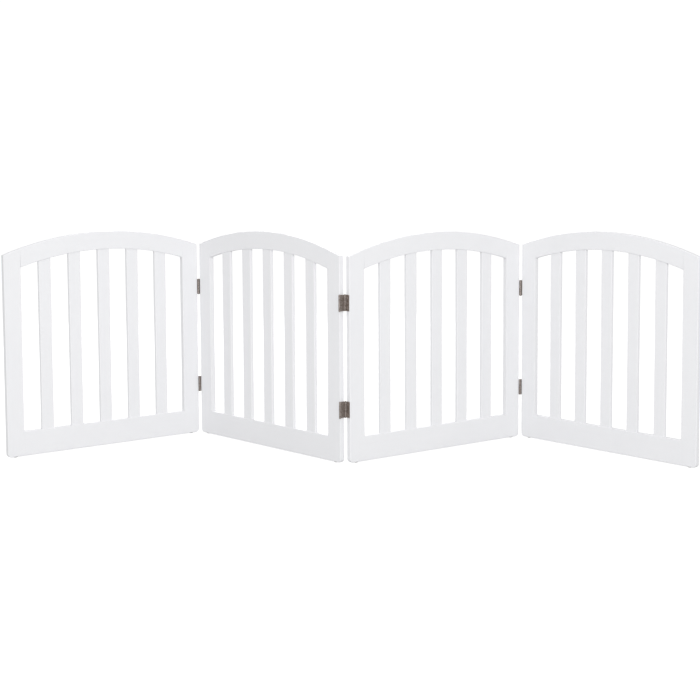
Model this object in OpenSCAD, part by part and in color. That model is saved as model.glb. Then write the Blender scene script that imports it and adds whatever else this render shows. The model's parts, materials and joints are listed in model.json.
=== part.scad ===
// Folding pet gate: four arched, slatted wooden panels that stand in a zigzag.
// Neighbouring panels are joined by two double-action hinges, one above the other.
// Each hinge has three leaves and two pins, one pin in front of the panels and one behind,
// so that every joint folds both ways.
//
// Row frame: +X runs along the standing gate, -Y is the front, +Z is up, and z = 0 is the floor.
// Panel frame, used by every wooden piece: u (X) runs along the panel from its left end,
// v (Y) runs from the front face to the back face, and z is the height above the floor.
// Hinge frame: u = 0 is the middle of the gap between two panels, v and z as in the panel frame,
// with z = 0 at the hinge's mid height.

/* [Gate] */
// Width of one panel
panel_w = 610; // [480:5:760]
// Height from the floor to the top of the arch
gate_h = 610; // [500:5:800]
// Thickness of the stiles and rails
frame_t = 15; // [14:0.5:22]
// Bend between neighbouring panels as the gate stands, in degrees
bend = 84; // [40:1:110]

/* [Frame] */
// Width of a stile
stile_w = 50; // [40:1:64]
// Height of the arched rail, measured square to its curve
top_rail_h = 50; // [40:1:60]
// Height of the top of the bottom rail above the floor
bottom_rail_top = 70; // [60:1:90]
// Rise of the arch from a panel's corner to its middle
arch_rise = 51; // [30:1:70]
// Radius of a stile's rounded foot corner
foot_r = 10; // [4:1:14]
// Radius of the eased outer edges of a stile
edge_r = 2; // [1:0.5:4]

/* [Slats] */
// Width of a slat
slat_w = 36; // [28:1:40]
// Thickness of a slat
slat_t = 10; // [8:0.5:11]
// Radius of a slat's eased edges
slat_edge_r = 1.5; // [0.5:0.25:2.5]
// Depth of the housing that takes each end of a slat
housing_depth = 10; // [6:1:12]
// Glue clearance around a slat in its housing
housing_clear = 0.1; // [0.05:0.05:0.3]

/* [Dowels] */
// Radius of a dowel between a rail and a stile
dowel_r = 3; // [2.5:0.25:4]
// Length of a dowel, half of it in each piece
dowel_l = 40; // [30:2:44]
// Distance from a rail's edge to its nearer dowel
dowel_inset = 14; // [12:1:16]
// Glue clearance around a dowel, and half of the spare depth at its end
dowel_clear = 0.05; // [0.02:0.01:0.2]

/* [Glides] */
// Radius of a glide under a stile
glide_r = 5.5; // [4:0.5:6]
// Height of a glide
glide_h = 2; // [1:0.5:4]

/* [Hinges] */
// Height of a hinge
hinge_h = 44; // [36:1:60]
// Height of the lower hinges' middle above the floor
lower_hinge_z = 146; // [110:1:180]
// Height of the upper hinges' middle above the floor
upper_hinge_z = 434; // [380:1:440]
// Gap between the ends of two panels
end_gap = 4.5; // [4.2:0.1:6]
// Thickness of a leaf
leaf_t = 1.2; // [0.8:0.1:1.3]
// Distance from a panel's face to the hinge pin's axis
pin_out = 2.4; // [2.2:0.1:4]
// Radius of a knuckle
knuckle_r = 2.6; // [2.2:0.1:2.6]
// Radius of a hinge pin
pin_r = 1.25; // [1:0.05:1.4]
// Radial running clearance of a hinge pin
pin_clear = 0.05; // [0.02:0.01:0.08]
// Height of the gap between two knuckles
knuckle_gap = 0.4; // [0.3:0.1:1]
// Radius of the rounded head at each end of a pin
pin_head_r = 1.9; // [1.6:0.1:2.2]
// Height of a pin's head
pin_head_h = 0.8; // [0.5:0.1:1.2]

/* [Hinge screws] */
// Distance between the two screws of a leaf
screw_pitch = 28; // [20:1:32]
// Radius of a countersunk screw head
screw_head_r = 2.6; // [2.2:0.1:3]
// Radius of a screw's shank
screw_r = 1.4; // [1.2:0.1:1.6]
// Length of a screw with its head
screw_l = 16; // [12:1:20]
// Clearance around a screw
screw_clear = 0.05; // [0.02:0.01:0.1]

/* [Hidden] */
PANELS = [1, 2, 3, 4];
GAPS = [1, 2, 3];
SLATS = [1, 2, 3, 4, 5];

$fn = 64;
WHITE_PAINT = "whitesmoke";
BEECH = "burlywood";
DARK_NICKEL = [0.36, 0.33, 0.31];
STEEL = "darkgray";
DARK_RUBBER = [0.25, 0.24, 0.23];

// the arch: two circles about one centre, the outer one through the panel's top corners
arch_out_r = (pow(panel_w / 2, 2) + pow(arch_rise, 2)) / (2 * arch_rise);
arch_in_r = arch_out_r - top_rail_h;
arch_z = gate_h - arch_out_r;
function arch_out(u) = arch_z + sqrt(pow(arch_out_r, 2) - pow(u - panel_w / 2, 2));
function arch_in(u) = arch_z + sqrt(pow(arch_in_r, 2) - pow(u - panel_w / 2, 2));

// the slats share the width between the stiles with equal openings
rail_l = panel_w - 2 * stile_w;
slat_gap = (rail_l - len(SLATS) * slat_w) / (len(SLATS) + 1);
function slat_u(s) = stile_w + s * slat_gap + (s - 1) * slat_w;
// a slat's top goes a housing's depth past the arch at the higher of its two edges
function slat_top(s) = housing_depth + max(arch_in(slat_u(s)), arch_in(slat_u(s) + slat_w));
slat_foot = bottom_rail_top - housing_depth;
slat_v = (frame_t - slat_t) / 2;

dowel_heights = [
    glide_h + dowel_inset, bottom_rail_top - dowel_inset,
    arch_in(stile_w) + dowel_inset, arch_out(stile_w) - dowel_inset];

hinge_heights = [lower_hinge_z, upper_hinge_z];
// a knuckle fills the upper or the lower half of the hinge
knuckle_h = (hinge_h - knuckle_gap) / 2;
// the leaves stay clear of the other leaves' knuckles
knuckle_clear = 0.4;
leaf_v0 = -pin_out + knuckle_r + knuckle_clear;
leaf_v1 = frame_t - leaf_v0;
pin_span = frame_t + 2 * pin_out;
// the places of the front pin and the back pin across the panel
PIN_V = [-pin_out, frame_t + pin_out];
eps = 0.01;

// Where the panels stand. Odd panels run away from the front, even panels run back to it.
half_bend = bend / 2;
pitch = panel_w + end_gap;
function heading(p) = p % 2 == 1 ? half_bend : -half_bend;
function along(p) = [cos(heading(p)), sin(heading(p))];
function across(p) = [-sin(heading(p)), cos(heading(p))];
// the front pins of the first and last gaps, which are the folded ones at the far corners
far_pin_x = pitch * cos(half_bend) + pin_span * sin(half_bend);
far_pin_y = (pitch * sin(half_bend) - pin_span * cos(half_bend)) / 2;
function far_pin(p) = [p <= 2 ? -far_pin_x : far_pin_x, far_pin_y];
function end_offset(p) = p % 2 == 1 ? -(panel_w + end_gap / 2) : end_gap / 2;
function panel_origin(p) = far_pin(p) + end_offset(p) * along(p) + pin_out * across(p);

module place_panel(p) {
    translate([panel_origin(p)[0], panel_origin(p)[1], 0]) rotate([0, 0, heading(p)]) children();
}

// both hinges at the left end of a panel, or at its right end
module place_hinges(p, at_right) {
    place_panel(p) for (z = hinge_heights)
        translate([at_right ? panel_w + end_gap / 2 : -end_gap / 2, 0, z]) children();
}

// the same piece at the other end of the panel
module at_right_end() {
    translate([panel_w, 0, 0]) mirror([1, 0, 0]) children();
}

// a disc about the arch's centre, as thick as asked and centred on the panel's thickness
module arch_disc(r, t) {
    translate([panel_w / 2, frame_t / 2, arch_z]) rotate([90, 0, 0])
        cylinder(r = r, h = t, center = true, $fn = 360);
}

// a rod along u, from u0 to u1
module rod(u0, u1, v, z, r) {
    translate([u0, v, z]) rotate([0, 90, 0]) cylinder(r = r, h = u1 - u0);
}

// ---- wooden frame ----

// a stile's section: the two outer corners eased, the inner ones square where the rails meet it
module stile_section() {
    translate([edge_r, 0]) square([stile_w - edge_r, frame_t]);
    translate([0, edge_r]) square([stile_w, frame_t - 2 * edge_r]);
    for (v = [edge_r, frame_t - edge_r]) translate([edge_r, v]) circle(r = edge_r);
}

// what a rounded foot corner takes off a left stile
module foot_corner() {
    difference() {
        translate([-1, -1, glide_h - 1]) cube([foot_r + 1, frame_t + 2, foot_r + 1]);
        translate([foot_r, frame_t / 2, glide_h + foot_r]) rotate([90, 0, 0])
            cylinder(r = foot_r, h = frame_t + 4, center = true);
    }
}

module dowel_holes() {
    reach = dowel_l / 2 + 2 * dowel_clear;
    for (z = dowel_heights)
        rod(stile_w - reach, stile_w + reach, frame_t / 2, z, dowel_r + dowel_clear);
}

// pilot holes for the hinge screws in a left end face
module pilot_holes() {
    for (z = hinge_heights, k = [-0.5, 0.5])
        rod(-1, screw_l - leaf_t, frame_t / 2, z + k * screw_pitch, screw_r + screw_clear);
}

// a stile at the left end of a panel, with or without hinges on its end face
module stile(hinged) {
    difference() {
        intersection() {
            translate([0, 0, glide_h]) linear_extrude(height = gate_h) stile_section();
            arch_disc(arch_out_r, frame_t + 2);
        }
        foot_corner();
        dowel_holes();
        if (hinged) pilot_holes();
    }
}

module left_stile(p) {
    color(WHITE_PAINT) place_panel(p) stile(p > 1);
}

module right_stile(p) {
    color(WHITE_PAINT) place_panel(p) at_right_end() stile(p < 4);
}

// the pockets in the rails that take the slats' ends
module slat_housings() {
    for (s = SLATS)
        translate([slat_u(s) - housing_clear, slat_v - housing_clear, slat_foot])
            cube([slat_w + 2 * housing_clear, slat_t + 2 * housing_clear,
                  slat_top(s) + housing_clear - slat_foot]);
}

module top_rail(p) {
    color(WHITE_PAINT) place_panel(p) difference() {
        intersection() {
            translate([stile_w, 0, gate_h / 2]) cube([rail_l, frame_t, gate_h]);
            arch_disc(arch_out_r, frame_t + 2);
        }
        arch_disc(arch_in_r, frame_t + 4);
        slat_housings();
        dowel_holes();
        at_right_end() dowel_holes();
    }
}

module bottom_rail(p) {
    color(WHITE_PAINT) place_panel(p) difference() {
        translate([stile_w, 0, glide_h]) cube([rail_l, frame_t, bottom_rail_top - glide_h]);
        slat_housings();
        dowel_holes();
        at_right_end() dowel_holes();
    }
}

// a slat's section, with all four edges eased
module slat_section() {
    translate([slat_edge_r, 0]) square([slat_w - 2 * slat_edge_r, slat_t]);
    translate([0, slat_edge_r]) square([slat_w, slat_t - 2 * slat_edge_r]);
    for (u = [slat_edge_r, slat_w - slat_edge_r], v = [slat_edge_r, slat_t - slat_edge_r])
        translate([u, v]) circle(r = slat_edge_r);
}

module slat(p, s) {
    color(WHITE_PAINT) place_panel(p) translate([slat_u(s), slat_v, slat_foot])
        linear_extrude(height = slat_top(s) - slat_foot) slat_section();
}

// four dowels at each end of the two rails, inside the wood
module dowels(p) {
    color(BEECH) place_panel(p) for (z = dowel_heights, u = [stile_w, panel_w - stile_w])
        rod(u - dowel_l / 2, u + dowel_l / 2, frame_t / 2, z, dowel_r);
}

// one glide under the middle of each stile
module glides(p) {
    color(DARK_RUBBER) place_panel(p) for (u = [stile_w / 2, panel_w - stile_w / 2])
        translate([u, frame_t / 2, 0]) cylinder(r = glide_r, h = glide_h);
}

// ---- hinges ----

// a countersunk screw that goes in along -u, its head flush with u = 0
module screw() {
    rotate([0, -90, 0]) difference() {
        union() {
            cylinder(r1 = screw_head_r, r2 = screw_r, h = leaf_t);
            cylinder(r = screw_r, h = screw_l - 2 * screw_r);
            translate([0, 0, screw_l - 2 * screw_r]) cylinder(r1 = screw_r, r2 = 0.2, h = 2 * screw_r);
        }
        for (a = [0, 90]) rotate([0, 0, a])
            translate([-1.5, -0.3, -1]) cube([3, 0.6, 1.8]);
    }
}

// the screws of one leaf at the right end of a panel, in the hinge frame
module leaf_screws() {
    for (k = [-0.5, 0.5])
        translate([leaf_t - end_gap / 2, frame_t / 2, k * screw_pitch]) screw();
}

module hinge_screws(p) {
    color(STEEL) {
        if (p < 4) place_hinges(p, true) leaf_screws();
        if (p > 1) place_hinges(p, false) mirror([1, 0, 0]) leaf_screws();
    }
}

// countersunk holes for a leaf's screws
module screw_holes() {
    for (k = [-0.5, 0.5])
        translate([leaf_t - end_gap / 2, frame_t / 2, k * screw_pitch]) rotate([0, -90, 0]) {
            cylinder(r1 = screw_head_r + screw_clear, r2 = screw_r + screw_clear, h = leaf_t);
            translate([0, 0, -eps]) cylinder(r = screw_r + screw_clear, h = leaf_t + 2 * eps);
        }
}

// the outer leaf on the end of the left panel: a plate on the end face, and a knuckle on the
// lower half of the front pin
module outer_leaf() {
    difference() {
        union() {
            translate([-end_gap / 2, leaf_v0, -hinge_h / 2])
                cube([leaf_t, leaf_v1 - leaf_v0, hinge_h]);
            translate([-end_gap / 2, -pin_out, -hinge_h / 2])
                cube([leaf_t, frame_t / 2, knuckle_h]);
            translate([0, -pin_out, -hinge_h / 2]) cylinder(r = knuckle_r, h = knuckle_h);
        }
        translate([0, -pin_out, -hinge_h]) cylinder(r = pin_r + pin_clear, h = 2 * hinge_h);
        screw_holes();
    }
}

// the middle leaf: a plate between the two outer leaves, with a knuckle on the upper half of
// the front pin and another on the upper half of the back pin
module middle_leaf() {
    difference() {
        union() {
            translate([-leaf_t / 2, leaf_v0, -hinge_h / 2]) cube([leaf_t, leaf_v1 - leaf_v0, hinge_h]);
            translate([-leaf_t / 2, -pin_out, hinge_h / 2 - knuckle_h])
                cube([leaf_t, pin_span, knuckle_h]);
            for (v = PIN_V) translate([0, v, hinge_h / 2 - knuckle_h])
                cylinder(r = knuckle_r, h = knuckle_h);
        }
        for (v = PIN_V) translate([0, v, -hinge_h]) cylinder(r = pin_r, h = 2 * hinge_h);
    }
}

// a pin, pressed into the middle leaf, with a rounded head at each end
module pin() {
    cylinder(r = pin_r, h = hinge_h + 2 * knuckle_gap, center = true);
    for (end = [-1, 1])
        translate([0, 0, end * (hinge_h / 2 + knuckle_gap + pin_head_h / 2)])
            cylinder(r = pin_head_r, h = pin_head_h, center = true);
}

module both_pins() {
    for (v = PIN_V) translate([0, v, 0]) pin();
}

module left_leaves(g) {
    color(DARK_NICKEL) place_hinges(g, true) outer_leaf();
}

// the right panel's leaf is the same piece turned half round about the hinge's upright middle
// line, so its knuckle is on the lower half of the back pin
module right_leaves(g) {
    color(DARK_NICKEL) place_hinges(g + 1, false)
        translate([0, frame_t, 0]) rotate([0, 0, 180]) outer_leaf();
}

// at the far corners the middle leaf lies on the right panel's end, and in the middle it lies
// on the left panel's end: each time it belongs to an even panel
function middle_panel(g) = g % 2 == 1 ? g + 1 : g;

module middle_leaves(g) {
    color(DARK_NICKEL) place_hinges(middle_panel(g), g % 2 == 0) middle_leaf();
}

module pins(g) {
    color(DARK_NICKEL) place_hinges(middle_panel(g), g % 2 == 0) both_pins();
}

// ---- what is drawn ----

for (p = PANELS) {
    left_stile(p);
    right_stile(p);
    top_rail(p);
    bottom_rail(p);
    for (s = SLATS) slat(p, s);
    dowels(p);
    glides(p);
    hinge_screws(p);
}
for (g = GAPS) {
    left_leaves(g);
    middle_leaves(g);
    right_leaves(g);
    pins(g);
}
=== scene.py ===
# %% [markdown]
# # A folding pet gate
# Four white wooden panels stand in a zigzag. Each one is a real frame: two upright stiles, an arched
# top rail, a taller straight bottom rail, and five flat slats housed in the rails. Dark screen hinges
# join the panels. The CAD model holds every size and every joint. This lesson keeps the gate's CAD
# hinges, carves softer boards in place of its sharp-edged ones, and gives every surface a finish.

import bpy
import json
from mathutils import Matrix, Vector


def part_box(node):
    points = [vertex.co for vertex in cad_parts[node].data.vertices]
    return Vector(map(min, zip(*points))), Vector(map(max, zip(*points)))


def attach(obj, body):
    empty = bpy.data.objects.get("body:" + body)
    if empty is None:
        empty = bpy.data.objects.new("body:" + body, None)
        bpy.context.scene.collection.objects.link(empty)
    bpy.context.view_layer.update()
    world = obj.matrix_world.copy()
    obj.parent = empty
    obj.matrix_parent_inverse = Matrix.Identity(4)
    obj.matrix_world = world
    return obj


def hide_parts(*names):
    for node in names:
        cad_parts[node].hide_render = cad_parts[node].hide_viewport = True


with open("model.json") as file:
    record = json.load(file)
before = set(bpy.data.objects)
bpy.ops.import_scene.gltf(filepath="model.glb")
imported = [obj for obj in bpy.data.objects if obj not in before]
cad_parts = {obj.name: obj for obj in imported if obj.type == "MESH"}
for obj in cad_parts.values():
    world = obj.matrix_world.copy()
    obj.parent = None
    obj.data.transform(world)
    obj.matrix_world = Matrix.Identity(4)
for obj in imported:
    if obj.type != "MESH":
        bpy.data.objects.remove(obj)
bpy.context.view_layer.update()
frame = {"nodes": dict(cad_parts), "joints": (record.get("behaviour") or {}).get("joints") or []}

# %% The tools of the lesson
import json
import math

import bmesh
import bpy
import numpy as np
from mathutils import Matrix, Vector

MM = 0.001
PANELS = (1, 2, 3, 4)
GAPS = (1, 2, 3)
SLATS = (1, 2, 3, 4, 5)
CREASE = math.radians(40)      # edges that turn more than this stay crisp
scene = bpy.context.scene
print(len(PANELS), "panels,", len(GAPS), "gaps,", len(SLATS), "slats in each panel")

# %% [markdown]
# ## Where the panels stand
# The hinge pins are the gate's skeleton, and the frame gives their places as joints. Two front pins
# of the same panel lie one panel and one gap apart, so a panel's direction and its width both come
# from them. We could copy the numbers from the CAD file, but a place that is worked out from the
# pins stays right if the gate is ever stood at another angle.

# %% Panel places from the hinge pins
pin = {j["name"]: np.array(j["pos_m"][:2]) for j in frame["joints"]}
END_GAP = 4.5 * MM
PIN_OUT = 2.4 * MM
pitch = np.linalg.norm(pin["fold_forward_2"] - pin["fold_forward_1"])
PANEL_W = pitch - END_GAP
FRAME_T = np.linalg.norm(pin["fold_back_1"] - pin["fold_forward_1"]) - 2 * PIN_OUT


def unit(v):
    """A vector divided by its own length."""
    return v / np.linalg.norm(v)


falling = unit(pin["fold_forward_2"] - pin["fold_forward_1"])   # panels 2 and 4 come back to the front
ALONG = {p: falling * (1, -1) if p % 2 else falling for p in PANELS}
ACROSS = {p: np.array([-a[1], a[0]]) for p, a in ALONG.items()}
FAR_PIN = {1: "fold_forward_1", 2: "fold_forward_1", 3: "fold_forward_3", 4: "fold_forward_3"}
ORIGIN = {}
for p in PANELS:
    to_end = -(PANEL_W + END_GAP / 2) if p % 2 else END_GAP / 2
    ORIGIN[p] = pin[FAR_PIN[p]] + to_end * ALONG[p] + PIN_OUT * ACROSS[p]
print(f"panel width {PANEL_W / MM:.1f} mm, thickness {FRAME_T / MM:.1f} mm")


def stand(p, uvz):
    """Panel points (u along, v from front to back, z up) put into the row frame:
    place = origin + u * along + v * across, and z stays."""
    flat = ORIGIN[p] + uvz[:, :1] * ALONG[p] + uvz[:, 1:2] * ACROSS[p]
    return np.column_stack([flat, uvz[:, 2]])


# %% Sizes of the timber
STILE_W = 50 * MM
TOP_RAIL_H = 50 * MM
ARCH_RISE = 51 * MM
FOOT_R = 10 * MM
SLAT_W = 36 * MM
SLAT_T = 10 * MM
HOUSING = 10 * MM
foot_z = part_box("panel_1_left_stile")[0].z
rail_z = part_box("panel_1_bottom_rail")[1].z
gate_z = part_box("panel_1_top_rail")[1].z
arch_out_r = ((PANEL_W / 2) ** 2 + ARCH_RISE ** 2) / (2 * ARCH_RISE)
arch_in_r = arch_out_r - TOP_RAIL_H
arch_z = gate_z - arch_out_r
slat_gap = (PANEL_W - 2 * STILE_W - len(SLATS) * SLAT_W) / (len(SLATS) + 1)
print(f"arch radius {arch_out_r / MM:.0f} mm outside, opening between slats {slat_gap / MM:.0f} mm")


def arch(u, radius):
    """Height of an arch at u: centre height + sqrt(radius^2 - distance from the middle^2)."""
    return arch_z + np.sqrt(radius ** 2 - (u - PANEL_W / 2) ** 2)


# %% [markdown]
# ## A board with eased edges
# A painted board never has a knife edge: its long edges are sanded round so that the paint holds. A
# cube with a Bevel modifier would do for the slats, but the arched rail is curved and its ends are
# glued flat against the stiles, so each edge of the outline needs its own radius. So a board is worked
# out as rings. Every ring is the outline, moved inwards by a little less each time while it goes
# deeper, which draws a quarter circle along the edge. One flat face closes each side.

# %% Moving an outline inwards
EASE_STEPS = 4
SHARP_CORNER = 0.2             # the sine of a turn that counts as a corner


def moved_in(outline, inset):
    """Each corner moves to where its two edges meet once they have moved inwards by their own
    insets. The inward normal of an edge (du, dz) is (-dz, du) over its length. Where the two
    edges run on in one line, the corner moves straight in by their mean inset."""
    edge = np.roll(outline, -1, axis=0) - outline
    length = np.linalg.norm(edge, axis=1, keepdims=True)
    after = np.column_stack([-edge[:, 1], edge[:, 0]]) / length
    before = np.roll(after, 1, axis=0)
    inset_before = np.roll(inset, 1)
    cross = before[:, 0] * after[:, 1] - before[:, 1] * after[:, 0]
    bent = np.abs(cross) > SHARP_CORNER
    safe = np.where(bent, cross, 1.0)
    meet = np.column_stack([
        (inset_before * after[:, 1] - inset * before[:, 1]) / safe,
        (inset * before[:, 0] - inset_before * after[:, 0]) / safe])
    mean = ((inset + inset_before) / 2)[:, None] * (before + after)
    mean /= 1 + (before * after).sum(axis=1, keepdims=True)
    return outline + np.where(bent[:, None], meet, mean)


print("a board has", 2 * (EASE_STEPS + 1), "rings")


# %% The board maker
def board_rings(outline, ease, v_front, v_back):
    """Rings of a board from its front face to its back face. At the angle t of the quarter circle
    the inset is ease * (1 - sin t) and the depth below the face is radius * (1 - cos t)."""
    t = np.linspace(0, np.pi / 2, EASE_STEPS + 1)
    radius = ease.max()
    rings = []
    for side, face in ((1, v_front), (-1, v_back)):
        for angle in t[::side]:
            uz = moved_in(outline, ease * (1 - math.sin(angle)))
            v = np.full(len(uz), face + side * radius * (1 - math.cos(angle)))
            rings.append(np.column_stack([uz[:, 0], v, uz[:, 1]]))
    return rings


def skin(rings, start=0):
    """Faces between closed rings of equal length, quad by quad, and one face at each end. start is
    the number of the first point."""
    n, m = len(rings), len(rings[0])
    first = start + np.arange(n * m).reshape(n, m)
    a, b = first[:-1], first[1:]
    quads = np.stack([a, b, np.roll(b, -1, axis=1), np.roll(a, -1, axis=1)], axis=-1)
    return quads.reshape(-1, 4).tolist() + [first[0].tolist(), first[-1][::-1].tolist()]


test_outline = np.array([[0, 0], [2, 0], [2, 1], [0, 1]]) * SLAT_W
print("faces of a plain board:", len(skin(board_rings(test_outline, np.full(4, MM), 0, SLAT_T))))


# %% Meshes that know their grain
def new_mesh(name, points, faces, grain=None):
    """A closed mesh in the row frame. grain holds each point's place in its own plank: along the
    fibres, across them, and into the depth, in metres."""
    mesh = bpy.data.meshes.new(name)
    mesh.from_pydata(points.tolist(), [], faces)
    if grain is not None:
        mesh.attributes.new("plank", "FLOAT_VECTOR", "POINT").data.foreach_set("vector", grain.ravel())
    mesh.validate()
    mesh.polygons.foreach_set("use_smooth", np.ones(len(mesh.polygons), bool))
    mesh.set_sharp_from_angle(angle=CREASE)
    mesh.update()
    return mesh


def new_piece(mesh, body, slot, *stands_for):
    """Puts a mesh into the scene as a piece that rides on a body, in place of its CAD nodes."""
    piece = bpy.data.objects.new(mesh.name, mesh)
    scene.collection.objects.link(piece)
    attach(piece, body)
    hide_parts(*stands_for)
    return piece


def even_shading(piece):
    """Big flat faces keep flat shading and hand the turn of the light to the eased edges."""
    flat = piece.modifiers.new("even shading", "WEIGHTED_NORMAL")
    flat.keep_sharp = True
    flat.weight = 100


print("shading turns crisp past", round(math.degrees(CREASE)), "degrees")


# %% A plank of a panel
planks = []
PLANK_STEP = np.array([1.7, 0.9, 0.31])     # how far apart two planks' grain is, in metres


def new_board(name, p, outline, ease, v_front, v_back, upright):
    """A board of panel p. The grain runs up an upright board and along a lying one. Each plank
    is cut from another place in the timber, so its grain is moved on by the plank's number."""
    rings = board_rings(outline, ease, v_front, v_back)
    uvz = np.concatenate(rings)
    order = (2, 0, 1) if upright else (0, 2, 1)
    number = len(planks)
    grain = uvz[:, order] + PLANK_STEP * number
    mesh = new_mesh(name, stand(p, uvz), skin(rings), grain)
    piece = new_piece(mesh, f"panel_{p}", "white_paint", name)
    even_shading(piece)
    planks.append(piece)


print("the grain moves on by", PLANK_STEP.tolist(), "m from plank to plank")

# %% [markdown]
# ## The stiles
# A stile is a plank on end. Its top is cut to the sweep of the arch, its outer foot corner is
# rounded, and its inner edge has three stretches: glued to the bottom rail, free beside the opening,
# and glued to the top rail. A glued edge keeps a hair's breadth of easing, because a painted butt
# joint shows as a fine line when it is looked at closely. The outline is listed anticlockwise,
# one value of easing for each of its edges.

# %% Outline helpers
EASED = 2.0 * MM       # a free edge
GLUED = 0.05 * MM      # an edge at a joint
SLAT_EASED = 1.6 * MM
STEP = 0.8 * MM        # how soon the easing runs out where a free edge meets a joint


def chain(*runs):
    """Joins runs of (points, easing of the edges that start at them) into one closed outline."""
    points = np.concatenate([np.atleast_2d(run[0]) for run in runs])
    ease = np.concatenate([np.full(len(np.atleast_2d(run[0])), run[1]) for run in runs])
    return points, ease


def sweep(u_from, u_to, radius, steps):
    """Points along an arch of that radius from one u to another."""
    u = np.linspace(u_from, u_to, steps)
    return np.column_stack([u, arch(u, radius)])


def quarter(centre, radius, from_deg, to_deg, steps):
    """Points on a circle: centre + radius * (cos, sin)."""
    a = np.radians(np.linspace(from_deg, to_deg, steps))
    return np.array(centre) + radius * np.column_stack([np.cos(a), np.sin(a)])


print("free edges are eased by", round(EASED / MM, 2), "mm, glued ones by", round(GLUED / MM, 2), "mm")


# %% The two stiles of each panel
def stile_outline():
    """A left stile: up the inner edge, back along the arch, down the outer edge, round the foot."""
    under_arch = arch(STILE_W, arch_in_r)
    return chain(
        ([[STILE_W, foot_z], [STILE_W, rail_z - STEP]], GLUED),
        ([[STILE_W, rail_z], [STILE_W, under_arch - STEP]], EASED),
        ([[STILE_W, under_arch]], GLUED),
        (sweep(STILE_W, 0, arch_out_r, 10), EASED),
        (quarter((FOOT_R, foot_z + FOOT_R), FOOT_R, 180, 270, 9), EASED))


outline, ease = stile_outline()
turned = outline[::-1] * (-1, 1) + (PANEL_W, 0)
turned_ease = np.roll(ease[::-1], -1)
for p in PANELS:
    new_board(f"panel_{p}_left_stile", p, outline, ease, 0, FRAME_T, upright=True)
    new_board(f"panel_{p}_right_stile", p, turned, turned_ease, 0, FRAME_T, upright=True)
print(len(planks), "stiles,", len(outline), "points round each")

# %% [markdown]
# ## The rails
# The top rail is a piece of a ring: both its curves have one centre, so it is equally high all along
# when it is measured square to the curve. It could be made as a bent strip, but real ones are sawn
# from a wide straight plank, so the grain here runs straight through and doesn't follow the curve.
# The bottom rail is a plain plank that is taller, to give the gate a steady foot.

# %% The two rails of each panel
ARCH_STEPS = 49
left, right = STILE_W, PANEL_W - STILE_W
top_outline, top_ease = chain(
    (sweep(left, right, arch_in_r, ARCH_STEPS)[:-1], EASED),
    ([[right, arch(right, arch_in_r)]], GLUED),
    (sweep(right, left, arch_out_r, ARCH_STEPS)[:-1], EASED),
    ([[left, arch(left, arch_out_r)]], GLUED))
foot_outline, foot_ease = chain(
    ([[left, foot_z]], EASED),
    ([[right, foot_z]], GLUED),
    ([[right, rail_z]], EASED),
    ([[left, rail_z]], GLUED))
for p in PANELS:
    new_board(f"panel_{p}_top_rail", p, top_outline, top_ease, 0, FRAME_T, upright=False)
    new_board(f"panel_{p}_bottom_rail", p, foot_outline, foot_ease, 0, FRAME_T, upright=False)
print(len(top_outline), "points round a top rail and", len(foot_outline), "round a bottom rail")

# %% [markdown]
# ## The slats
# Thinner than the frame and set back from both its faces, each slat throws a fine shadow where it
# meets the rails. Its ends go a little way into housings in the rails, so a slat is longer than it
# looks.

# %% Five slats a panel
slat_front = (FRAME_T - SLAT_T) / 2
for p in PANELS:
    for s in SLATS:
        u0 = STILE_W + s * slat_gap + (s - 1) * SLAT_W
        u1 = u0 + SLAT_W
        top = max(arch(u0, arch_in_r), arch(u1, arch_in_r)) + HOUSING
        foot = rail_z - HOUSING
        slat_outline, slat_ease = chain(
            ([[u0, foot]], GLUED), ([[u1, foot]], SLAT_EASED),
            ([[u1, top]], GLUED), ([[u0, top]], SLAT_EASED))
        new_board(f"panel_{p}_slat_{s}", p, slat_outline, slat_ease,
                  slat_front, slat_front + SLAT_T, upright=True)
print(len(planks), "planks,", sum(len(b.data.polygons) for b in planks), "faces")

# %% [markdown]
# ## The hinges
# Each hinge has two outer leaves, screwed to the panels' ends, and a middle leaf that lies between
# them. One pin stands in front of the panels and one behind, so the joint folds both ways. The CAD
# solids are already true to size, with their countersunk holes, so we keep their shape and only take
# the razor edge off: a copy has its loose triangles welded, its flat faces joined, and a tiny Bevel.

# %% Softened copies of the CAD hinge pieces
LEAF_BEVEL = 0.15 * MM


def softened(node, body, slot):
    """A welded copy of a CAD node with a small bevel on its edges, standing in for it."""
    mesh = frame["nodes"][node].data.copy()
    mesh.name = node + "_softened"
    work = bmesh.new()
    work.from_mesh(mesh)
    bmesh.ops.remove_doubles(work, verts=work.verts, dist=1e-6)
    bmesh.ops.dissolve_limit(work, angle_limit=math.radians(1), verts=work.verts, edges=work.edges)
    work.to_mesh(mesh)
    work.free()
    mesh.materials.clear()
    mesh.polygons.foreach_set("use_smooth", np.ones(len(mesh.polygons), bool))
    mesh.set_sharp_from_angle(angle=CREASE)
    piece = new_piece(mesh, body, slot, node)
    bevel = piece.modifiers.new("soft edges", "BEVEL")
    bevel.width = LEAF_BEVEL
    bevel.segments = 2
    bevel.limit_method = "ANGLE"
    bevel.angle_limit = CREASE
    bevel.use_clamp_overlap = True
    even_shading(piece)
    return piece


hinge_metal = []
for g in GAPS:
    for node, body in ((f"hinges_{g}_left_leaves", f"panel_{g}"),
                       (f"hinges_{g}_right_leaves", f"panel_{g + 1}"),
                       (f"hinges_{g}_middle_leaves", f"middle_leaf_{g}")):
        hinge_metal.append(softened(node, body, "dark_nickel"))
print(len(hinge_metal), "groups of hinge leaves")

# %% [markdown]
# ## The pins
# A pin is turned, so it is a surface of revolution: a profile carried round an upright axis. Its
# ends are domed, as a riveted or pressed pin's are. Each hinge has two, and there are two hinges on a
# gap, at the heights where the CAD leaves are.

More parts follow.
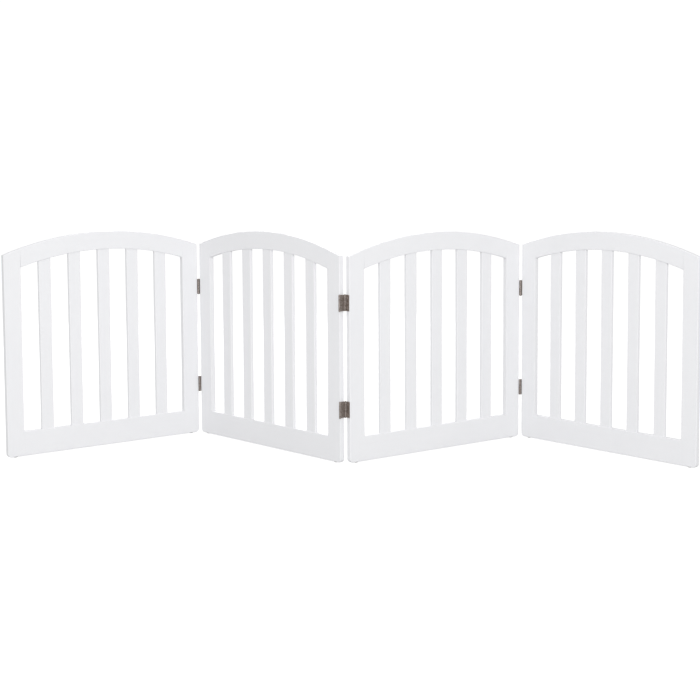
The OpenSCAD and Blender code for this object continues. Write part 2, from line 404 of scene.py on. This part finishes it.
# %% The sizes of a pin
PIN_R = 1.25 * MM
HEAD_R = 1.9 * MM
HEAD_H = 0.8 * MM
KNUCKLE_GAP = 0.4 * MM
ROUND = 24
HINGE_H = 44 * MM
leaf_low, leaf_high = (corner.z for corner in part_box("hinges_1_middle_leaves"))
hinge_heights = (leaf_low + HINGE_H / 2, leaf_high - HINGE_H / 2)
print("hinge middles at", [round(z / MM) for z in hinge_heights], "mm")


# %% Carrying a profile round an axis
def turned_piece(profile, x, y):
    """A profile of (radius, height) points carried round the upright axis at (x, y):
    point = (x + radius * cos a, y + radius * sin a, height), one ring for each profile point."""
    a = np.linspace(0, 2 * np.pi, ROUND, endpoint=False)
    radius, height = profile.T[:, :, None]
    return np.stack([x + radius * np.cos(a), y + radius * np.sin(a), height + 0 * a], axis=-1)


def domed_pin_profile(z_mid):
    """Shank, then at each end a step out to the head and most of a quarter ellipse over its top:
    radius = head radius * cos t, height = reach + head height * (0.3 + 0.7 * sin t)."""
    t = np.radians(np.linspace(0, 80, 6))
    reach = HINGE_H / 2 + KNUCKLE_GAP
    dome = np.column_stack([HEAD_R * np.cos(t), reach + HEAD_H * (0.3 + 0.7 * np.sin(t))])
    upper = np.vstack([[(PIN_R, reach), (HEAD_R, reach)], dome])
    lower = upper[::-1] * (1, -1)
    return np.vstack([lower, upper]) + (0, z_mid)


def merged(ring_sets, name):
    """Several closed tubes in one mesh, with their faces turned outwards."""
    points, faces, start = [], [], 0
    for rings in ring_sets:
        faces += skin(rings, start)
        points.append(np.concatenate(rings))
        start += len(points[-1])
    mesh = new_mesh(name, np.concatenate(points), faces)
    work = bmesh.new()
    work.from_mesh(mesh)
    bmesh.ops.recalc_face_normals(work, faces=work.faces)
    work.to_mesh(mesh)
    work.free()
    return mesh


print("points in the profile of a pin:", len(domed_pin_profile(0)))

# %% Turned pins with domed heads
for g in GAPS:
    tubes = [turned_piece(domed_pin_profile(z), *pin[f"fold_{way}_{g}"])
             for way in ("forward", "back") for z in hinge_heights]
    piece = new_piece(merged(tubes, f"hinges_{g}_turned_pins"), f"middle_leaf_{g}",
                      "dark_nickel", f"hinges_{g}_pins")
    hinge_metal.append(piece)
screws = [frame["nodes"][f"panel_{p}_hinge_screws"] for p in PANELS]
print(len(hinge_metal), "hinge pieces and", len(screws), "groups of CAD screws")

# %% [markdown]
# ## The glides
# Under each stile sits a small rubber pad that keeps the paint off the floor. It is another turned
# piece: flat below, with a soft shoulder where it is pressed down.

# %% Soft-shouldered glides
GLIDE_R = 5.5 * MM


def glide_profile():
    """Up the side of the pad, with a quarter circle at the foot and a small one at the top. Each
    point is the quarter's centre + its radius * (sin a, -cos a), then (cos b, sin b)."""
    foot_r, top_r = 0.7 * MM, 0.3 * MM
    a = np.radians(np.linspace(0, 90, 5))
    b = np.radians(np.linspace(0, 90, 4))
    foot = (GLIDE_R - foot_r, foot_r) + foot_r * np.column_stack([np.sin(a), -np.cos(a)])
    top = (GLIDE_R - top_r, foot_z - top_r) + top_r * np.column_stack([np.cos(b), np.sin(b)])
    return np.vstack([foot, top])


glides = []
for p in PANELS:
    places = stand(p, np.array([[STILE_W / 2, FRAME_T / 2, 0],
                                [PANEL_W - STILE_W / 2, FRAME_T / 2, 0]]))
    tubes = [turned_piece(glide_profile(), x, y) for x, y, z in places]
    glides.append(new_piece(merged(tubes, f"panel_{p}_soft_glides"), f"panel_{p}",
                            "glide_rubber", f"panel_{p}_glides"))
dowels = [frame["nodes"][f"panel_{p}_dowels"] for p in PANELS]
print(len(glides), "pairs of glides and", len(dowels), "groups of CAD dowels")

# %% [markdown]
# ## Finishes
# Every finish is built from nodes. Effects that several finishes share are node groups, each with
# named inputs and outputs: fibres that run along a plank, a broad mottle, and the light wear that
# metal shows on its edges. The Principled BSDF stays in each material, where the groups feed it.

# %% Node helpers
class Nodes:
    """A short way to add nodes and link them by socket name."""

    def __init__(self, tree):
        self.tree = tree

    def add(self, kind, inputs=None, **settings):
        """A node of that kind. Each input is linked if it is given a socket, or set to a value."""
        node = self.tree.nodes.new("ShaderNode" + kind)
        for key, value in settings.items():
            setattr(node, key, value)
        for key, value in (inputs or {}).items():
            socket = node.inputs[key]
            if isinstance(value, bpy.types.NodeSocket):
                self.tree.links.new(value, socket)
            else:
                socket.default_value = value
        return node

    def math(self, operation, a, b):
        """a and b put together by that operation."""
        return self.add("Math", {0: a, 1: b}, operation=operation).outputs[0]

    def blend(self, amount, a, b):
        """A colour between a and b."""
        node = self.add("Mix", data_type="RGBA")
        for key, value in ((0, amount), (6, a), (7, b)):
            if isinstance(value, bpy.types.NodeSocket):
                self.tree.links.new(value, node.inputs[key])
            else:
                node.inputs[key].default_value = value
        return node.outputs[2]

    def between(self, value, low, high, to_low=0.0, to_high=1.0):
        """value, moved from the range low to high onto the range to_low to to_high."""
        return self.add("MapRange", {"Value": value, "From Min": low, "From Max": high,
                                     "To Min": to_low, "To Max": to_high}).outputs["Result"]

    def noise(self, vector, scale, detail, stretch=(1, 1, 1)):
        """Noise on a vector that is stretched along some of its axes."""
        mapped = self.add("Mapping", {"Vector": vector, "Scale": stretch}).outputs[0]
        return self.add("TexNoise", {"Vector": mapped, "Scale": scale,
                                     "Detail": detail}).outputs["Fac"]


def new_group(name, inputs, outputs):
    """A node group with named sockets. inputs give a type and a default, outputs a type."""
    tree = bpy.data.node_groups.new(name, "ShaderNodeTree")
    for label, (kind, value) in inputs.items():
        socket = tree.interface.new_socket(label, in_out="INPUT", socket_type="NodeSocket" + kind)
        if value is not None:
            socket.default_value = value
    for label, kind in outputs.items():
        tree.interface.new_socket(label, in_out="OUTPUT", socket_type="NodeSocket" + kind)
    return tree, Nodes(tree), tree.nodes.new("NodeGroupInput"), tree.nodes.new("NodeGroupOutput")


def sockets(tree):
    """The names of a group's inputs and outputs."""
    return [item.name for item in tree.interface.items_tree]


print("helpers:", [word for word in vars(Nodes) if not word.startswith("_")])


# %% Group: fibres along a plank
fibres, n, enter, leave = new_group(
    "plank_fibres",
    {"Plank": ("Vector", None), "Fineness": ("Float", 260.0), "Stretch": ("Float", 0.03)},
    {"Fibres": "Float", "Figure": "Float"})
along_scale = n.add("CombineXYZ", {"X": enter.outputs["Stretch"], "Y": 1.0, "Z": 1.0}).outputs[0]
drawn = n.add("VectorMath", {0: enter.outputs["Plank"], 1: along_scale},
              operation="MULTIPLY").outputs[0]
fine = n.add("TexNoise", {"Vector": drawn, "Scale": enter.outputs["Fineness"], "Detail": 3.0,
                          "Roughness": 0.6}).outputs["Fac"]
broad_scale = n.math("MULTIPLY", enter.outputs["Fineness"], 0.16)
broad = n.add("TexNoise", {"Vector": drawn, "Scale": broad_scale, "Detail": 2.0,
                           "Distortion": 0.6}).outputs["Fac"]
fibres.links.new(fine, leave.inputs["Fibres"])
fibres.links.new(broad, leave.inputs["Figure"])
print(fibres.name, sockets(fibres))

# %% Group: a broad mottle
mottle, n, enter, leave = new_group(
    "mottle",
    {"Place": ("Vector", None), "Scale": ("Float", 8.0), "Low": ("Float", 0.35),
     "High": ("Float", 0.65)},
    {"Mottle": "Float"})
spots = n.add("TexNoise", {"Vector": enter.outputs["Place"], "Scale": enter.outputs["Scale"],
                           "Detail": 4.0, "Roughness": 0.62}).outputs["Fac"]
spread = n.add("MapRange", {"Value": spots, "From Min": enter.outputs["Low"],
                            "From Max": enter.outputs["High"]}).outputs["Result"]
mottle.links.new(spread, leave.inputs["Mottle"])
print(mottle.name, sockets(mottle))

# %% Group: wear along edges
edge_wear, n, enter, leave = new_group(
    "edge_wear",
    {"Place": ("Vector", None), "Radius": ("Float", 0.0005), "Breakup": ("Float", 900.0)},
    {"Wear": "Float"})
rounded = n.add("Bevel", {"Radius": enter.outputs["Radius"]}, samples=6).outputs["Normal"]
true_normal = n.add("NewGeometry").outputs["Normal"]
turn = n.add("VectorMath", {0: rounded, 1: true_normal}, operation="DOT_PRODUCT").outputs["Value"]
edge = n.between(turn, 0.995, 0.85)
patchy = n.add("TexNoise", {"Vector": enter.outputs["Place"], "Scale": enter.outputs["Breakup"],
                            "Detail": 2.0}).outputs["Fac"]
worn = n.math("MULTIPLY", edge, n.between(patchy, 0.4, 0.62))
edge_wear.links.new(worn, leave.inputs["Wear"])
print(edge_wear.name, sockets(edge_wear))


# %% Material helpers
def new_material(name, **settings):
    """A material with one Principled BSDF, and sockets set by name."""
    material = bpy.data.materials.new(name)
    material.use_nodes = True
    material.node_tree.nodes.clear()
    nodes = Nodes(material.node_tree)
    shader = nodes.add("BsdfPrincipled", {k.replace("_", " "): v for k, v in settings.items()})
    out = nodes.add("OutputMaterial")
    material.node_tree.links.new(shader.outputs[0], out.inputs[0])
    return material, nodes, shader


def group(nodes, tree, inputs):
    """Places a node group, sets its inputs and returns its outputs."""
    node = nodes.tree.nodes.new("ShaderNodeGroup")
    node.node_tree = tree
    for key, value in inputs.items():
        if isinstance(value, bpy.types.NodeSocket):
            nodes.tree.links.new(value, node.inputs[key])
        else:
            node.inputs[key].default_value = value
    return node.outputs


def feed(nodes, shader, **links):
    """Links sockets to the shader's inputs, named with _ in place of a space."""
    for label, value in links.items():
        nodes.tree.links.new(value, shader.inputs[label.replace("_", " ")])


def dress(pieces, material):
    """Gives every piece that one material."""
    for piece in pieces:
        piece.data.materials.clear()
        piece.data.materials.append(material)
    print(material.name, "on", len(pieces), "objects")


# %% [markdown]
# ## White paint
# Sprayed satin enamel over sanded softwood. At arm's length it is plain white. Closer, the fibres
# telegraph through as a faint relief, the film has a slight orange peel, and the sheen is a little
# uneven. The colour hardly varies: a paint that changed by more than a hundredth would look dirty.

# %% The paint
paint, n, shader = new_material("white_satin_paint", Specular_IOR_Level=0.5, IOR=1.45)
plank = n.add("Attribute", attribute_name="plank").outputs["Vector"]
place = n.add("TexCoord").outputs["Object"]
relief = group(n, fibres, {"Plank": plank, "Fineness": 360.0, "Stretch": 0.022})
clouds = group(n, mottle, {"Place": place, "Scale": 7.0, "Low": 0.3, "High": 0.7})["Mottle"]
peel = n.noise(place, 1400.0, detail=1.0)
tone = n.math("ADD", n.math("MULTIPLY", clouds, 0.5), n.math("MULTIPLY", relief["Figure"], 0.5))
colour = n.blend(tone, (0.820, 0.822, 0.840, 1), (0.845, 0.847, 0.862, 1))
gloss = n.between(tone, 0.3, 0.7, 0.36, 0.46)
height = n.math("ADD", n.math("MULTIPLY", relief["Fibres"], 0.6), n.math("MULTIPLY", peel, 0.25))
bump = n.add("Bump", {"Height": height, "Strength": 0.5, "Distance": 0.0006}).outputs[0]
feed(n, shader, Base_Color=colour, Roughness=gloss, Normal=bump)
dress(planks, paint)

# %% [markdown]
# ## Dark hinge metal
# Steel leaves plated in antique nickel: brown-grey, and paler where the plating was rubbed back on the
# edges and knuckles. A fine mottle mixes two tones that aren't far apart. Tones too far apart, or
# spots too large, would turn the leaves into camouflage as soon as a hinge opens flat. Upright
# brush lines catch the light, and the edge wear adds the pale rims.

# %% The hinge metal and the screws
def hinge_finish(name, dark, pale, rim, rough):
    """Antique plating: mottled between a dark and a pale tone, with rubbed rims."""
    material, n, shader = new_material(name, Specular_IOR_Level=0.5)
    place = n.add("TexCoord").outputs["Object"]
    patina = group(n, mottle, {"Place": place, "Scale": 230.0, "Low": 0.32, "High": 0.68})["Mottle"]
    rubbed = group(n, edge_wear, {"Place": place, "Radius": 0.0004, "Breakup": 700.0})["Wear"]
    base = n.blend(patina, (*dark, 1), (*pale, 1))
    colour = n.blend(rubbed, base, (*rim, 1))
    brushed = n.noise(place, 1500.0, detail=2.0, stretch=(1, 1, 0.05))
    dullness = n.math("ADD", n.math("MULTIPLY", patina, -0.10), n.math("MULTIPLY", brushed, 0.16))
    roughness = n.math("ADD", dullness, rough + 0.05)
    metallic = n.between(patina, 0.0, 1.0, 0.75, 0.95)
    bump = n.add("Bump", {"Height": brushed, "Strength": 0.35, "Distance": 0.00005}).outputs[0]
    feed(n, shader, Base_Color=colour, Roughness=roughness, Metallic=metallic, Normal=bump)
    return material


hinge_material = hinge_finish("antique_hinge_plating", (0.17, 0.143, 0.13), (0.48, 0.42, 0.385),
                              (0.66, 0.58, 0.52), 0.36)
screw_material = hinge_finish("antique_screw_plating", (0.40, 0.355, 0.325), (0.66, 0.59, 0.545),
                              (0.85, 0.80, 0.76), 0.26)
dress(hinge_metal, hinge_material)
dress(screws, screw_material)

# %% [markdown]
# ## Rubber and beech
# The glides are pale grey rubber, scuffed a little darker where they are slid over the floor. The
# dowels are bare beech, sealed inside the joints: nobody sees them until the gate is taken apart, but
# they are real pieces, so they get the wood's own colour and fibres too.

# %% The rubber
rubber, n, shader = new_material("glide_rubber", Specular_IOR_Level=0.3)
place = n.add("TexCoord").outputs["Object"]
dust = group(n, mottle, {"Place": place, "Scale": 420.0, "Low": 0.45, "High": 0.75})["Mottle"]
pores = n.noise(place, 3200.0, detail=1.0)
feed(n, shader,
     Base_Color=n.blend(dust, (0.52, 0.52, 0.51, 1), (0.38, 0.375, 0.36, 1)),
     Roughness=n.between(dust, 0.0, 1.0, 0.62, 0.85),
     Normal=n.add("Bump", {"Height": pores, "Strength": 0.5, "Distance": 0.0001}).outputs[0])
dress(glides, rubber)

# %% The beech
beech, n, shader = new_material("bare_beech", Specular_IOR_Level=0.3)
place = n.add("TexCoord").outputs["Object"]
streaks = group(n, fibres, {"Plank": place, "Fineness": 500.0, "Stretch": 0.08})
feed(n, shader,
     Base_Color=n.blend(streaks["Figure"], (0.42, 0.25, 0.12, 1), (0.62, 0.42, 0.24, 1)),
     Roughness=n.between(streaks["Fibres"], 0.0, 1.0, 0.55, 0.7),
     Normal=n.add("Bump", {"Height": streaks["Fibres"], "Strength": 0.4,
                           "Distance": 0.0001}).outputs[0])
dress(dowels, beech)

# %% [markdown]
# ## The studio
# The gate stands on a white sweep in a bright room. Such a picture is exposed so that the sweep turns
# paper white while the paint keeps its tone, so the room is a little brighter to the camera than it
# is to the gate. A Light Path node tells the two apart.

# %% Floor
AIR = 0.64           # the light of the room as the gate meets it
PAPER = 1.06         # the same room as the camera sees it
bpy.ops.mesh.primitive_plane_add(size=30)
floor = bpy.context.object
floor.name = "studio_floor"
floor_paint, n, shader = new_material("white_sweep", Base_Color=(0.45, 0.45, 0.45, 1), Roughness=0.9,
                                      Specular_IOR_Level=0.1, Emission_Color=(1, 1, 1, 1))
seen = n.add("LightPath").outputs["Is Camera Ray"]
feed(n, shader, Emission_Strength=n.between(seen, 0, 1, AIR - 0.4, PAPER - 0.3))
floor.data.materials.append(floor_paint)
print("floor", tuple(round(side) for side in floor.dimensions[:2]), "m")

# %% Room
world = bpy.data.worlds.new("studio_air")
scene.world = world
world.use_nodes = True
n = Nodes(world.node_tree)
seen = n.add("LightPath").outputs["Is Camera Ray"]
world.node_tree.links.new(n.between(seen, 0, 1, AIR, PAPER),
                          world.node_tree.nodes["Background"].inputs["Strength"])
world.node_tree.nodes["Background"].inputs["Color"].default_value = (1, 1, 1, 1)
scene.view_settings.view_transform = "Standard"
print("room", AIR, "to the gate and", PAPER, "to the camera")

# %% [markdown]
# One large soft box stands in front, to the right of the middle. It favours the panels that face it
# and leaves the second one, which looks away to the left, a little greyer. Without it the
# zigzag would be lit evenly and the four panels would melt into one white sheet. It stands well back,
# so that a panel that swings towards it hardly gets brighter. A weak one overhead and one behind
# keep the tops and the backs from going dull.

# %% Soft box
def soft_box(name, place, aim, size, watts):
    """A square area light at place that points at aim, unseen by the camera."""
    light = bpy.data.lights.new(name, "AREA")
    light.size = size
    light.energy = watts
    lamp = bpy.data.objects.new(name, light)
    scene.collection.objects.link(lamp)
    lamp.location = place
    lamp.rotation_euler = (Vector(aim) - Vector(place)).to_track_quat("-Z", "Y").to_euler()
    lamp.visible_camera = False
    print(name, watts, "W")


soft_box("front_soft_box", (0.8, -5.6, 2.4), (0.1, 0, 0.3), 2.4, 160)
soft_box("overhead_soft_box", (0.0, 0.1, 2.6), (0, 0, 0), 2.2, 10)
soft_box("rear_soft_box", (-0.6, 2.6, 1.4), (0, 0, 0.3), 1.6, 26)

# %% [markdown]
# ## The camera
# A long lens from a little to the right of straight ahead, above the gate's height. A camera that is
# only tipped down draws upright stiles leaning outwards. An architect's camera shifts its lens
# instead, and a small shift here takes over part of the tip. From this far away the four arches also
# keep nearly one size, where a short lens close by would swell the middle panels.

# %% Camera
CAMERA_PLACE = (0.4200, -4.5001, 0.9307)
CAMERA_TURN, CAMERA_TIP, CAMERA_ROLL = 5.391, 5.586, -0.291     # degrees
LENS = 83.93             # mm
LENS_SHIFT = -0.107      # of the picture's width
camera = bpy.data.objects.new("camera", bpy.data.cameras.new("camera"))
scene.collection.objects.link(camera)
camera.location = CAMERA_PLACE
camera.rotation_euler = (Matrix.Rotation(math.radians(CAMERA_TURN), 3, "Z")
                         @ Matrix.Rotation(math.radians(90 - CAMERA_TIP), 3, "X")
                         @ Matrix.Rotation(math.radians(CAMERA_ROLL), 3, "Z")).to_euler()
camera.data.lens = LENS
camera.data.shift_y = LENS_SHIFT
print("camera", round(Vector(CAMERA_PLACE).length, 2), "m from the origin, lens", LENS, "mm")
scene.camera = camera
